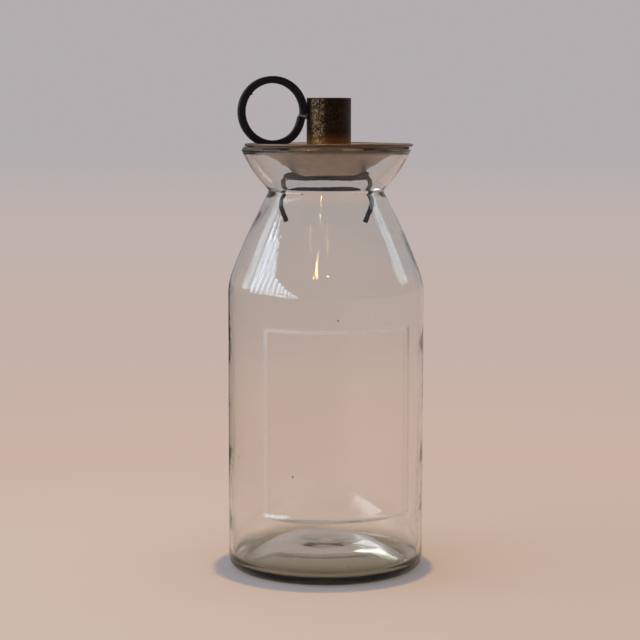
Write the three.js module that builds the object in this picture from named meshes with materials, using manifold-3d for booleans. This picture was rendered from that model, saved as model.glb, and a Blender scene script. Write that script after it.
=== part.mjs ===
// Bottle candle holder: a moulded glass bottle with a candle head that lifts off its flared mouth.
// The head is a drip dish with a candle socket and a finger ring above it, and a bent wire clip
// below it that hangs through the bottle's neck and keeps the head over the middle.
//
// Millimetres, +Z up. The origin is on the bottle's axis, on the surface that the bottle stands on.
// The recessed label panel faces -Y, and the finger ring points to -X.

import * as THREE from 'three';
import { mergeVertices } from 'three/addons/utils/BufferGeometryUtils.js';
import Module from 'manifold-3d';

const wasm = await Module();
wasm.setup();

// Bottle: the outline's corners, from the foot up
const BODY_DIAMETER = 110.8;
const BODY_HEIGHT = 163.4;        // foot to the corner where the shoulder starts
const SHOULDER_HEIGHT = 51.4;     // that corner to the crease of the neck
const MOUTH_HEIGHT = 24.6;        // crease of the neck to the top of the lip
const NECK_DIAMETER = 64.4;       // outside, where shoulder and funnel would meet if left sharp
const LIP_DIAMETER = 95.7;
const LIP_DROP = 1.8;             // the lip is widest this far below its top
const LIP_TOP_INSET = 1.2;        // the lip's flat top starts this far inside its widest edge
const SHOULDER_CROWN = 1.3;       // how far the middle of the shoulder stands out from a straight cone
const FUNNEL_CROWN = 1.6;         // the same for the funnel of the mouth

// Bottle: glass thickness, measured level
const BODY_WALL = 2.4;
const SHOULDER_WALL = 2.7;
const NECK_WALL = 3;
const FUNNEL_WALL = 3;
const LIP_WALL = 3.2;
const BASE_THICKNESS = 6.6;       // at the middle of the base

// Bottle: foot and punt, a hill pushed up under the base, whose top is nearly flat. The flat ring
// that the bottle stands on lies between punt and heel
const PUNT_DIAMETER = 84;
const PUNT_STEP = 0.8;            // the punt's edge lies this much above the bearing ring
const PUNT_RISE = 10.6;           // height of the punt's middle
const PUNT_TOP_DIAMETER = 46;     // of its nearly flat top, from below
const PUNT_TOP_DROP = 0.8;        // the top falls this much from its middle to its edge
const FLOOR_TOP_DIAMETER = 48;    // the same hill from inside the bottle
const FLOOR_TOP_DROP = 0.6;
const FLOOR_DROP = 15.7;          // from the floor's middle to its sharp corner with the wall

// Bottle: the top of the mouth's inside is a nearly upright band
const LIP_BAND = 3.2;             // height
const LIP_BAND_DRAFT = 0.45;      // it gets this much narrower on its way down

// Bottle: rounded corners
const HEEL_ROUND = 9.5;
const SHOULDER_ROUND = 35;
const SHOULDER_CROWN_ROUND = 250;
const FUNNEL_CROWN_ROUND = 60;
const NECK_ROUND = 2;
const NECK_INSIDE_ROUND = 14;
const LIP_ROUND = 0.8;
const LIP_BAND_ROUND = 2.5;
const PUNT_TOP_ROUND = 16;
const FLOOR_TOP_ROUND = 14;
const FLOOR_ROUND = 5;

// Bottle: label panel, a shallow recess pressed straight in from the front
const PANEL_WIDTH = 80;           // seen from the front, not along the glass
const PANEL_HEIGHT = 103;
const PANEL_FOOT = 37.4;          // height of the panel's lower edge
const PANEL_DEPTH = 0.8;
const PANEL_CORNER = 3;

// Candle head: drip dish, pressed from one sheet
const DISH_SHEET = 1.4;
const DISH_DEPTH = 15.6;          // flange to floor
const DISH_INSET = 0.5;           // the flange is this much smaller in radius than the lip
const DISH_PLAY = 2.3;            // the cone's clearance in the mouth when the dish is in the middle
const DISH_SHIFT = 1.4;           // dish, socket and ring sit off the axis by this much, along the clip's bar
const DISH_FLOOR_MARGIN = 3.4;    // floor outside the socket, to the corner where the cone starts
const DISH_BEND = 6.5;            // between cone and floor
const DISH_RIM_BEND = 4;          // between cone and flange

// Candle head: socket for a dinner candle
const CANDLE_DIAMETER = 22;
const CANDLE_CLEARANCE = 0.2;
const SOCKET_WALL = 1.3;
const SOCKET_HEIGHT = 41.2;
const SOCKET_EDGE = 0.4;          // rounding of the socket's rim
const BRAZE_LEG = 1.2;            // width and height of the braze around the socket's foot
const BRAZE_WAIST = 0.4;          // how far its hollow face stands out from the corner

// Candle head: finger ring, a square bar bent to a circle whose two ends meet at the socket
const RING_DIAMETER = 39.6;       // outside
const RING_BAR = 4;
const RING_EDGE = 0.5;            // chamfer of the bar's edges
const RING_TURN = 7;              // degrees from -X toward -Y
const RING_GAP_ANGLE = -7.5;      // degrees, place of the gap between the ends, below level
const RING_GAP = 1.6;
const RING_STEP = 1;              // the lower end sits this much nearer the ring's centre
const RING_STEP_ANGLE = 50;       // degrees of the ring over which that end draws in
const RING_WELD_LENGTH = 6.4;
const RING_WELD_WIDTH = 5.2;
const RING_WELD_HEIGHT = 4.4;

// Candle head: neck clip, a round wire bent to a staple. Its bar bows down under the dish's floor
// and is welded to the dish at two places
const CLIP_WIRE = 2.6;
const CLIP_TURN = -9.5;           // degrees from +X
const CLIP_PLAY = 1.8;            // wire to the neck's sharp inside corner
const CLIP_DEPTH = 42.7;          // mouth to the tips of the legs
const CLIP_TIP = 10;              // height of the legs' in-turned tips
const CLIP_FLARE = 1.8;           // each leg spreads this much on its way down
const CLIP_TIP_INSET = 4;         // each tip turns in this much from the widest place
const CLIP_BOW = 1.3;             // the bar's middle hangs this much lower than its ends
const CLIP_BEND = 3.5;
const CLIP_KNEE_BEND = 12;
const CLIP_WELD_LENGTH = 10;
const CLIP_WELD_WIDTH = 5.6;
const CLIP_WELD_HEIGHT = 4.6;
const CLIP_WELD_OFFSET = 18;      // weld's middle from the axis

// Fits
const SEAT_GAP = 0.2;             // dish flange to the lip that it rests on
const RING_CLEARANCE = 0.3;       // ring to the dish under it
const WELD_GAP = 0.3;             // between pieces that weld or braze metal joins

// Facets
const BOTTLE_SIDES = 60;
const DISH_SIDES = 56;
const SOCKET_SIDES = 40;
const WIRE_SIDES = 10;
const WELD_SIDES = 16;
const RING_STEPS = 72;
const CLIP_STEPS = 60;
const ARC_SHARE = 0.48;           // a rounding takes at most this share of the sides it joins

// Places worked out from the sizes
const bodyRadius = BODY_DIAMETER / 2;
const neckRadius = NECK_DIAMETER / 2;
const lipRadius = LIP_DIAMETER / 2;
const neckZ = BODY_HEIGHT + SHOULDER_HEIGHT;
const mouthZ = neckZ + MOUTH_HEIGHT;
const mouthBore = lipRadius - LIP_WALL;
const dishUnderZ = mouthZ + SEAT_GAP;
const dishFloorUnderZ = dishUnderZ - DISH_DEPTH;
const dishFloorZ = dishFloorUnderZ + DISH_SHEET;
const socketBore = CANDLE_DIAMETER / 2 + CANDLE_CLEARANCE;
const socketRadius = socketBore + SOCKET_WALL;
const dishFloorRadius = socketRadius + DISH_FLOOR_MARGIN;
const dishConeTop = mouthBore - DISH_PLAY;
const dishLean = Math.atan2(DISH_DEPTH, dishConeTop - dishFloorRadius);
const ringMeanRadius = (RING_DIAMETER - RING_BAR) / 2;
const ringOffset = socketRadius + WELD_GAP + RING_DIAMETER / 2;
const ringZ = ringSeatZ();
const clipKneeReach = neckRadius - NECK_WALL - CLIP_PLAY - CLIP_WIRE / 2;
const clipTipZ = mouthZ - CLIP_DEPTH;

// Height at which the ring just clears the dish: over its flange, its bend or its cone, whichever
// lies nearest under the ring's middle
function ringSeatZ() {
  const reach = RING_DIAMETER / 2 + RING_CLEARANCE;
  const bendRadius = dishConeTop - DISH_SHEET * Math.tan(dishLean / 2);
  const bendZ = dishUnderZ + DISH_SHEET;
  const across = bendRadius - ringOffset;
  if (across < 0) {
    return bendZ + reach;
  }
  if (across > reach * Math.sin(dishLean)) {
    return bendZ - across * Math.tan(dishLean) + reach / Math.cos(dishLean);
  }
  return bendZ + Math.sqrt(reach ** 2 - across ** 2);
}

// A corner of an outline: across, up, and the radius and number of steps of its rounding
function corner(x, y, round = 0, steps = 1) {
  return { x, y, round, steps };
}

// The corner halfway between two others, pushed out to the right of the way from a to b
function crown(a, b, rise, round, steps) {
  const along = new THREE.Vector2(b.x - a.x, b.y - a.y).normalize();
  return corner((a.x + b.x) / 2 + along.y * rise, (a.y + b.y) / 2 - along.x * rise, round, steps);
}

// The same corner on the inside of a wall
function inside(outer, wall, round = outer.round) {
  return corner(outer.x - wall, outer.y, round, outer.steps);
}

// Points of an outline, each rounded corner as an arc that is tangent to both of its sides
function outline(corners, closed = false) {
  const points = [];
  corners.forEach((here, i) => {
    const last = corners.length - 1;
    const before = corners[i === 0 ? last : i - 1];
    const after = corners[i === last ? 0 : i + 1];
    const open = !closed && (i === 0 || i === last);
    if (!here.round || open) {
      points.push(new THREE.Vector2(here.x, here.y));
      return;
    }
    const back = new THREE.Vector2(before.x - here.x, before.y - here.y);
    const ahead = new THREE.Vector2(after.x - here.x, after.y - here.y);
    const room = Math.min(back.length(), ahead.length()) * ARC_SHARE;
    back.normalize();
    ahead.normalize();
    const half = Math.acos(back.dot(ahead)) / 2;
    const reach = Math.min(here.round / Math.tan(half), room);
    const radius = reach * Math.tan(half);
    const middle = back.clone().add(ahead).normalize().multiplyScalar(radius / Math.sin(half));
    const centre = new THREE.Vector2(here.x, here.y).add(middle);
    const start = new THREE.Vector2(here.x, here.y).addScaledVector(back, reach).sub(centre);
    const turn = Math.sign(back.cross(ahead)) * (2 * half - Math.PI);
    for (let k = 0; k <= here.steps; k += 1) {
      const spoke = start.clone().rotateAround(new THREE.Vector2(), (turn * k) / here.steps);
      points.push(centre.clone().add(spoke));
    }
  });
  return points;
}

// A closed solid from a geometry, ready to be joined to or cut by another
function solid(geometry) {
  const plain = geometry.clone();
  plain.deleteAttribute('normal');
  plain.deleteAttribute('uv');
  const merged = mergeVertices(plain, 1e-4);
  const mesh = new wasm.Mesh({
    numProp: 3,
    vertProperties: new Float32Array(merged.attributes.position.array),
    triVerts: new Uint32Array(merged.index.array),
  });
  return new wasm.Manifold(mesh);
}

// The geometry of a solid
function geometryOf(body) {
  const mesh = body.getMesh();
  const geometry = new THREE.BufferGeometry();
  geometry.setAttribute('position', new THREE.BufferAttribute(mesh.vertProperties, 3));
  geometry.setIndex(new THREE.BufferAttribute(mesh.triVerts, 1));
  geometry.computeVertexNormals();
  return geometry;
}

// A turned solid: an outline of (radius, height) points spun about the Z axis
function turned(points, sides) {
  const geometry = new THREE.LatheGeometry(points, sides);
  geometry.rotateX(Math.PI / 2);
  return solid(geometry);
}

// A turned ring: a closed outline that stays off the axis
function turnedRing(corners, sides) {
  const points = outline(corners, true);
  return turned([...points, points[0]], sides);
}

// A bar of the given section swept along a curve
function swept(curve, section, steps) {
  const shape = new THREE.Shape(section);
  return solid(new THREE.ExtrudeGeometry(shape, { steps, extrudePath: curve, curveSegments: 1 }));
}

// An egg-shaped lump of weld metal, its middle at x, z in the plane y = 0
function lump(length, width, height, x, z) {
  const geometry = new THREE.SphereGeometry(0.5, WELD_SIDES, WELD_SIDES / 2);
  geometry.scale(length, width, height);
  geometry.translate(x, 0, z);
  return solid(geometry);
}

// A path through straight runs and round bends, in the plane y = 0
function wirePath(corners) {
  const points = outline(corners);
  const path = new THREE.CurvePath();
  for (let i = 1; i < points.length; i += 1) {
    const from = new THREE.Vector3(points[i - 1].x, 0, points[i - 1].y);
    const to = new THREE.Vector3(points[i].x, 0, points[i].y);
    path.add(new THREE.LineCurve3(from, to));
  }
  return path;
}

// The bottle's outside, from the middle of the punt out, up and to the lip, then down the inside
function bottleOutline() {
  const puntRadius = PUNT_DIAMETER / 2;
  const heel = corner(bodyRadius, 0, HEEL_ROUND, 4);
  const shoulderFoot = corner(bodyRadius, BODY_HEIGHT, SHOULDER_ROUND, 3);
  const neck = corner(neckRadius, neckZ, NECK_ROUND, 3);
  const lip = corner(lipRadius, mouthZ - LIP_DROP, LIP_ROUND, 2);
  const lipTop = corner(lipRadius - LIP_TOP_INSET, mouthZ, LIP_ROUND, 2);
  const mouth = corner(mouthBore, mouthZ, LIP_ROUND, 2);
  const shoulder = crown(shoulderFoot, neck, SHOULDER_CROWN, SHOULDER_CROWN_ROUND, 3);
  const funnel = crown(neck, lip, FUNNEL_CROWN, FUNNEL_CROWN_ROUND, 3);
  const floorZ = PUNT_RISE + BASE_THICKNESS;
  return outline([
    corner(0, PUNT_RISE),
    corner(PUNT_TOP_DIAMETER / 2, PUNT_RISE - PUNT_TOP_DROP, PUNT_TOP_ROUND, 3),
    corner(puntRadius, PUNT_STEP),
    corner(puntRadius + PUNT_STEP, 0),
    heel,
    shoulderFoot,
    shoulder,
    neck,
    funnel,
    lip,
    lipTop,
    mouth,
    corner(mouthBore - LIP_BAND_DRAFT, mouthZ - LIP_BAND, LIP_BAND_ROUND, 2),
    inside(funnel, FUNNEL_WALL),
    inside(neck, NECK_WALL, NECK_INSIDE_ROUND),
    inside(shoulder, SHOULDER_WALL),
    inside(shoulderFoot, BODY_WALL, SHOULDER_ROUND - BODY_WALL),
    corner(bodyRadius - BODY_WALL, floorZ - FLOOR_DROP, FLOOR_ROUND, 4),
    corner(FLOOR_TOP_DIAMETER / 2, floorZ - FLOOR_TOP_DROP, FLOOR_TOP_ROUND, 3),
    corner(0, floorZ),
  ]);
}

// What the label panel takes away: a skin of the body's wall, as far as the panel's outline reaches
function panelRecess() {
  const reach = PANEL_DEPTH + PANEL_CORNER;
  const low = PANEL_FOOT - reach;
  const high = PANEL_FOOT + PANEL_HEIGHT + reach;
  const skin = turnedRing([
    corner(bodyRadius - PANEL_DEPTH, low),
    corner(bodyRadius + reach, low),
    corner(bodyRadius + reach, high),
    corner(bodyRadius - PANEL_DEPTH, high),
  ], BOTTLE_SIDES);
  const half = PANEL_WIDTH / 2;
  const frame = new THREE.Shape(outline([
    corner(-half, PANEL_FOOT, PANEL_CORNER, 3),
    corner(half, PANEL_FOOT, PANEL_CORNER, 3),
    corner(half, PANEL_FOOT + PANEL_HEIGHT, PANEL_CORNER, 3),
    corner(-half, PANEL_FOOT + PANEL_HEIGHT, PANEL_CORNER, 3),
  ], true));
  const press = new THREE.ExtrudeGeometry(frame, { depth: bodyRadius + reach, bevelEnabled: false });
  press.rotateX(Math.PI / 2);
  return skin.intersect(solid(press));
}

function makeBottle() {
  return turned(bottleOutline(), BOTTLE_SIDES).subtract(panelRecess());
}

// Corners of one face of the dish, from its middle to its edge, this far above the underside
function dishFace(above) {
  const shift = above * Math.tan(dishLean / 2);
  return [
    corner(0, dishFloorUnderZ + above),
    corner(dishFloorRadius - shift, dishFloorUnderZ + above, DISH_BEND - above, 4),
    corner(dishConeTop - shift, dishUnderZ + above, DISH_RIM_BEND, 3),
    corner(lipRadius - DISH_INSET, dishUnderZ + above),
  ];
}

function makeDish() {
  return turned(outline([...dishFace(0), ...dishFace(DISH_SHEET).reverse()]), DISH_SIDES);
}

// Everything from just below the dish's underside up, which no weld metal under the dish reaches
function aboveDish() {
  const face = dishFace(-WELD_GAP);
  const top = corner(0, mouthZ + DISH_DEPTH);
  return turned(outline([...face, corner(face.at(-1).x, top.y), top]), DISH_SIDES);
}

function makeSocket() {
  const foot = dishFloorZ;
  const top = foot + SOCKET_HEIGHT;
  return turnedRing([
    corner(socketBore, foot),
    corner(socketRadius, foot),
    corner(socketRadius, top, SOCKET_EDGE, 3),
    corner(socketBore, top, SOCKET_EDGE, 3),
  ], SOCKET_SIDES);
}

// The braze is a three-sided ring with a hollow face, between the socket and the dish's floor
function makeBraze() {
  const inner = socketRadius + WELD_GAP;
  const foot = dishFloorZ;
  return turnedRing([
    corner(inner, foot),
    corner(inner + BRAZE_LEG, foot),
    corner(inner + BRAZE_WAIST, foot + BRAZE_WAIST, BRAZE_LEG / 2, 3),
    corner(inner, foot + BRAZE_LEG),
  ], SOCKET_SIDES);
}

// The finger ring's bar: a circle from the upper end round to the lower end, which draws in
class RingCurve extends THREE.Curve {
  getPoint(t, target = new THREE.Vector3()) {
    const halfGap = THREE.MathUtils.radToDeg(RING_GAP / 2 / ringMeanRadius);
    const start = RING_GAP_ANGLE + halfGap;
    const sweep = 360 - 2 * halfGap;
    const left = (1 - t) * sweep;
    const drawn = RING_STEP * (1 - THREE.MathUtils.smoothstep(left, 0, RING_STEP_ANGLE));
    const angle = THREE.MathUtils.degToRad(start + t * sweep);
    const radius = ringMeanRadius - drawn;
    const x = -ringOffset + radius * Math.cos(angle);
    return target.set(x, 0, ringZ + radius * Math.sin(angle));
  }
}

// The square bar with chamfered edges, grown by a margin where it is used to cut weld metal
function ringBar(margin = 0) {
  const half = RING_BAR / 2 + margin;
  const section = outline([
    corner(-half, -half, RING_EDGE, 1),
    corner(half, -half, RING_EDGE, 1),
    corner(half, half, RING_EDGE, 1),
    corner(-half, half, RING_EDGE, 1),
  ], true);
  return swept(new RingCurve(), section, RING_STEPS);
}

// Weld metal that fills the gap between the ring's ends and ties both to the socket
function makeRingWeld() {
  const angle = THREE.MathUtils.degToRad(RING_GAP_ANGLE);
  const x = -ringOffset + ringMeanRadius * Math.cos(angle);
  const z = ringZ + ringMeanRadius * Math.sin(angle);
  const socketSkin = turned(outline([
    corner(0, dishFloorZ),
    corner(socketRadius + WELD_GAP, dishFloorZ),
    corner(socketRadius + WELD_GAP, dishFloorZ + SOCKET_HEIGHT),
    corner(0, dishFloorZ + SOCKET_HEIGHT),
  ]), SOCKET_SIDES);
  return lump(RING_WELD_LENGTH, RING_WELD_WIDTH, RING_WELD_HEIGHT, x, z)
    .subtract(ringBar(WELD_GAP))
    .subtract(socketSkin);
}

// The clip's wire, grown by a margin where it is used to cut weld metal
function clipWire(margin = 0) {
  const bar = corner(socketRadius, dishFloorUnderZ - WELD_GAP - CLIP_WIRE / 2);
  const top = corner(clipKneeReach - CLIP_FLARE, bar.y + CLIP_BOW, CLIP_BEND, 5);
  const knee = corner(clipKneeReach, clipTipZ + CLIP_TIP, CLIP_KNEE_BEND, 4);
  const tip = corner(clipKneeReach - CLIP_TIP_INSET, clipTipZ);
  const half = [bar, top, knee, tip];
  const otherHalf = half.map((c) => corner(-c.x, c.y, c.round, c.steps)).reverse();
  const path = wirePath([...otherHalf, ...half]);
  const radius = CLIP_WIRE / 2 + margin;
  const section = Array.from({ length: WIRE_SIDES }, (_, i) => {
    const angle = (2 * Math.PI * i) / WIRE_SIDES;
    return new THREE.Vector2(radius * Math.cos(angle), radius * Math.sin(angle));
  });
  return swept(path, section, CLIP_STEPS);
}

// One of the two welds that hold the clip to the dish: side is -1 or 1
function makeClipWeld(side) {
  const z = dishFloorUnderZ;
  return lump(CLIP_WELD_LENGTH, CLIP_WELD_WIDTH, CLIP_WELD_HEIGHT, side * CLIP_WELD_OFFSET, z)
    .subtract(aboveDish().translate(DISH_SHIFT, 0, 0))
    .subtract(clipWire(WELD_GAP));
}

// Materials, by their colour, roughness and metalness
function finish(color, roughness, metalness, more = {}) {
  return new THREE.MeshStandardMaterial({ color, roughness, metalness, ...more });
}
const glass = finish('#b4bdb4', 0.05, 0, { transparent: true, opacity: 0.35 });
const dishMetal = finish('#6e5f52', 0.5, 0.8);
const socketMetal = finish('#5a4a33', 0.45, 0.9);
const blackIron = finish('#17130f', 0.5, 0.5);
const clipIron = finish('#3a2f28', 0.6, 0.6);
const weldMetal = finish('#4a4643', 0.55, 0.8);

function piece(name, body, material) {
  const mesh = new THREE.Mesh(geometryOf(body), material);
  mesh.name = name;
  return mesh;
}

const ringGroup = new THREE.Group();
ringGroup.rotation.z = THREE.MathUtils.degToRad(RING_TURN);
ringGroup.add(piece('finger_ring', ringBar(), blackIron));
ringGroup.add(piece('ring_weld', makeRingWeld(), weldMetal));

const clipGroup = new THREE.Group();
clipGroup.rotation.z = THREE.MathUtils.degToRad(CLIP_TURN);
clipGroup.add(piece('neck_clip', clipWire(), clipIron));
clipGroup.add(piece('clip_weld_left', makeClipWeld(-1), clipIron));
clipGroup.add(piece('clip_weld_right', makeClipWeld(1), clipIron));

const dishGroup = new THREE.Group();
dishGroup.position.set(DISH_SHIFT, 0, 0).applyEuler(clipGroup.rotation);
dishGroup.add(piece('drip_dish', makeDish(), dishMetal));
dishGroup.add(piece('candle_socket', makeSocket(), socketMetal));
dishGroup.add(piece('socket_braze', makeBraze(), weldMetal));
dishGroup.add(ringGroup);

const group = new THREE.Group();
group.add(piece('bottle', makeBottle(), glass));
group.add(dishGroup);
group.add(clipGroup);

export default group;
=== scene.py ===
import math

import bpy
import numpy as np
from mathutils import Matrix, Vector


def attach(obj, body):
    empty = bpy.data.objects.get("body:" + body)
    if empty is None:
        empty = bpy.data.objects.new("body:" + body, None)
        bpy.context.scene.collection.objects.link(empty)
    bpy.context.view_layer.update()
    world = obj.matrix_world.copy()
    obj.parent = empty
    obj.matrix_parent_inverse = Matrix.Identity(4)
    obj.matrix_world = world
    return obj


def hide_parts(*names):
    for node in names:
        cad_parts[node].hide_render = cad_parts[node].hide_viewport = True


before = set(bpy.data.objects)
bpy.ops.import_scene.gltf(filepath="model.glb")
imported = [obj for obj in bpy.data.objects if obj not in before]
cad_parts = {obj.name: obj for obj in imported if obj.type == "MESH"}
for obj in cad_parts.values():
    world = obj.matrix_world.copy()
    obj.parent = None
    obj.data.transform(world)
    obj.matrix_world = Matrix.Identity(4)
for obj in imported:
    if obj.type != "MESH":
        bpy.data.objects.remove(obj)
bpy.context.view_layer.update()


# ---------------------------------------------------------------------------------------------
# Bottle. One piece of moulded soda glass, pale grey-green, with a flared mouth and a thick base.
# The mould gives it the heel, the shallow label panel and the ring that it stands on; the inside is
# free-formed, so it is wavy. It is fixed to nothing and carries the candle head.

BODY_RADIUS, BODY_INSIDE_RADIUS = 55.4, 53.0
# Corners of the glass in millimetres: radius, height, rounding. Up the outside, down the inside
BOTTLE_OUTSIDE = [
    (0, 10.6, 0), (23, 9.8, 40), (42, 0.8, 0.5), (42.8, 0, 0.5), (BODY_RADIUS, 0, 9.5), (BODY_RADIUS, 163.4, 35),
    (44.98, 189.63, 250), (32.2, 214.8, 2), (41.34, 225.29, 60), (47.85, 237.6, 0.8), (46.65, 239.4, 0.8),
]
BOTTLE_INSIDE = [
    (44.65, 239.4, 0.8), (44.2, 236.2, 2.5), (38.34, 225.29, 60), (29.2, 214.8, 14), (42.28, 189.63, 250),
    (BODY_INSIDE_RADIUS, 163.4, 32.6), (BODY_INSIDE_RADIUS, 1.5, 5), (24, 16.6, 36), (0, 17.2, 0),
]
# The label panel's frame, and how deep its recess is outside and inside, in millimetres
PANEL_HALF_WIDTH = 40.0
PANEL_LOW, PANEL_HIGH = 37.4, 140.4
PANEL_DEPTH, PANEL_DEPTH_INSIDE = 0.8, 0.75


def rounded_outline(corners, run, turn=6.0, closed=False):
    """An outline through (x, y, rounding) corners, as an array of points.

    Each rounding is an arc that is tangent to both sides of its corner. It starts rounding / tan(a)
    from the corner, where a is half the corner's angle, and at most 0.48 of the shorter side away.
    Its points are `turn` degrees apart, and the straight runs between are cut into steps of `run`.
    """
    corners = [np.array(c, float) for c in corners]
    line = []
    for i, here in enumerate(corners):
        before, after = corners[i - 1], corners[(i + 1) % len(corners)]
        if here[2] == 0 or (not closed and i in (0, len(corners) - 1)):
            line.append(here[None, :2])
            continue
        back, ahead = before[:2] - here[:2], after[:2] - here[:2]
        room = 0.48 * min(np.hypot(*back), np.hypot(*ahead))
        back, ahead = back / np.hypot(*back), ahead / np.hypot(*ahead)
        half = math.acos(np.clip(back @ ahead, -1, 1)) / 2
        reach = min(here[2] / math.tan(half), room)
        radius = reach * math.tan(half)
        middle = (back + ahead) / np.hypot(*(back + ahead))
        centre = here[:2] + middle * radius / math.sin(half)
        spoke = here[:2] + back * reach - centre
        sweep = math.copysign(math.pi - 2 * half, -(back[0] * ahead[1] - back[1] * ahead[0]))
        angles = np.linspace(0, sweep, max(2, math.ceil(math.degrees(abs(sweep)) / turn)) + 1)
        cos, sin = np.cos(angles), np.sin(angles)
        line.append(centre + np.stack([spoke[0] * cos - spoke[1] * sin,
                                       spoke[0] * sin + spoke[1] * cos], 1))
    points = np.concatenate(line + ([line[0][:1]] if closed else []))
    lengths = np.hypot(*np.diff(points, axis=0).T)
    pieces = [np.linspace(0, 1, max(1, math.ceil(d / run)), endpoint=False) for d in lengths]
    along = np.concatenate([k + part for k, part in enumerate(pieces)] + ([] if closed else [[len(lengths)]]))
    whole = np.arange(len(points))
    return np.stack([np.interp(along, whole, points[:, 0]), np.interp(along, whole, points[:, 1])], 1)


def with_rows(outline, radius, heights):
    """The outline with points added at some heights of its straight run up or down at a radius.

    The run's points and the new ones are sorted by height, in the outline's own direction, and of two
    that are less than 0.15 mm apart the second is left out.
    """
    first, last = np.flatnonzero(np.isclose(outline[:, 0], radius))[[0, -1]]
    run = np.concatenate([outline[first:last + 1], np.stack([np.full(len(heights), radius), heights], 1)])
    run = run[np.argsort(run[:, 1])]
    run = run[np.diff(run[:, 1], prepend=-1) > 0.15]
    if outline[first, 1] > outline[last, 1]:
        run = run[::-1]
    return np.concatenate([outline[:first], run, outline[last + 1:]])


def spun(outline, angles):
    """A turned surface: row i, column j is the outline's point i turned to angle j about the Z axis.

    The point is (radius x sine of the angle, minus radius x cosine of the angle, height), so angle 0
    is the front, -Y, and the angle grows toward +X.
    """
    radius, height = outline[:, :1], outline[:, 1:]
    x, y = radius * np.sin(angles), -radius * np.cos(angles)
    return np.stack([x, y, np.broadcast_to(height, x.shape)], 2)


def grid_mesh(name, grid, closed_rows=False, poles=False, sharp=None, around=None, edge=None):
    """An object in metres from a grid of points in millimetres: rows, columns, 3.

    The columns close round. The rows close too, or end in poles, where a whole row is one point.
    Face i, j joins the points (i, j), (i, j + 1), (i + 1, j + 1) and (i + 1, j). `around` is the
    length in millimetres that the UV map gives the way round; the way along is the mean distance
    between rows. `edge` is a number for each point, kept as the attribute "edge".
    """
    rows, columns = grid.shape[:2]
    index = np.arange(rows * columns).reshape(rows, columns)
    steps = np.linalg.norm(np.diff(grid, axis=0, append=grid[:1]), axis=2).mean(1)
    along = np.concatenate([[0], np.cumsum(steps)])
    turn = np.linspace(0, around or 100.0, columns + 1)
    down = np.roll(index, -1, 0) if closed_rows else index[1:]
    up = index if closed_rows else index[:-1]
    right_up, right_down = np.roll(up, -1, 1), np.roll(down, -1, 1)
    faces = np.stack([up, right_up, right_down, down], 2).reshape(-1, 4)
    i, j = np.divmod(np.arange(len(faces)), columns)
    uv = np.stack([np.stack([turn[j], along[i]], 1), np.stack([turn[j + 1], along[i]], 1),
                   np.stack([turn[j + 1], along[i + 1]], 1), np.stack([turn[j], along[i + 1]], 1)], 1)
    points = grid.reshape(-1, 3)
    used = np.ones((len(faces), 4), bool)
    if poles:
        points = points.copy()
        first, last = i == 0, i == rows - 2
        used[first, 1], used[last, 3] = False, False
        faces[first, 0], faces[last, 2] = 0, (rows - 1) * columns
    corners, lengths = faces[used], used.sum(1)
    kept, corners = np.unique(corners, return_inverse=True)
    mesh = bpy.data.meshes.new(name)
    mesh.vertices.add(len(kept))
    mesh.vertices.foreach_set("co", (points[kept] * 0.001).astype(np.float32).ravel())
    mesh.loops.add(len(corners))
    mesh.loops.foreach_set("vertex_index", corners.astype(np.int32).ravel())
    mesh.polygons.add(len(lengths))
    starts = np.concatenate([[0], np.cumsum(lengths)[:-1]])
    mesh.polygons.foreach_set("loop_start", starts.astype(np.int32))
    mesh.update(calc_edges=True)
    mesh.polygons.foreach_set("use_smooth", np.ones(len(lengths), bool))
    layer = mesh.uv_layers.new(name="surface")
    layer.data.foreach_set("uv", (uv[used] * 0.001).astype(np.float32).ravel())
    if edge is not None:
        layer = mesh.attributes.new("edge", "FLOAT", "POINT")
        layer.data.foreach_set("value", edge.reshape(-1)[kept].astype(np.float32))
    if sharp:
        mesh.set_sharp_from_angle(angle=math.radians(sharp))
    mesh.validate()
    piece = bpy.data.objects.new(name, mesh)
    bpy.context.scene.collection.objects.link(piece)
    return piece


def smooth_step(x, low, high):
    """0 up to low, 1 from high on, and 3 t^2 - 2 t^3 of the share t of the way between."""
    t = np.clip((x - low) / (high - low), 0, 1)
    return t * t * (3 - 2 * t)


def panel_share(points, soft_side, soft_end):
    """How much of its depth the label panel has at each point: 0 outside its frame, 1 well inside.

    It is one smooth step of the distance inside the nearer side, times one of the distance inside
    the nearer end, each centred on the frame's line, and 0 on the back half.
    """
    across = PANEL_HALF_WIDTH - np.abs(points[..., 0])
    middle, half = (PANEL_LOW + PANEL_HIGH) / 2, (PANEL_HIGH - PANEL_LOW) / 2
    up = half - np.abs(points[..., 2] - middle)
    share = smooth_step(across, -soft_side / 2, soft_side / 2) * smooth_step(up, -soft_end / 2, soft_end / 2)
    return np.where(points[..., 1] < 0, share, 0)


def slow_waves(points, seed, rounds, lengths, count=14):
    """Gentle unevenness of glass: a number whose mean square is 1/2, so mostly between -1.4 and 1.4.

    It is the sum of `count` sine waves over the root of the count. Each goes a whole number of times
    round the axis, within `rounds`, and repeats upward every so many millimetres, within `lengths`.
    Its direction and its start are random too, all from the seed.
    """
    dice = np.random.default_rng(seed)
    angle = np.arctan2(points[..., 0], -points[..., 1])
    total = np.zeros(angle.shape)
    for _ in range(count):
        total += np.sin(angle * dice.integers(rounds[0], rounds[1] + 1) * dice.choice((-1, 1))
                        + points[..., 2] * 2 * math.pi / dice.uniform(*lengths) + dice.uniform(0, 2 * math.pi))
    return total / math.sqrt(count)


def pushed_out(grid, distance):
    """The grid with each point moved level away from the axis by its own distance."""
    radius = np.maximum(np.hypot(grid[..., 0], grid[..., 1]), 1e-6)
    scale = 1 + distance / radius
    return np.stack([grid[..., 0] * scale, grid[..., 1] * scale, grid[..., 2]], 2)


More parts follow.
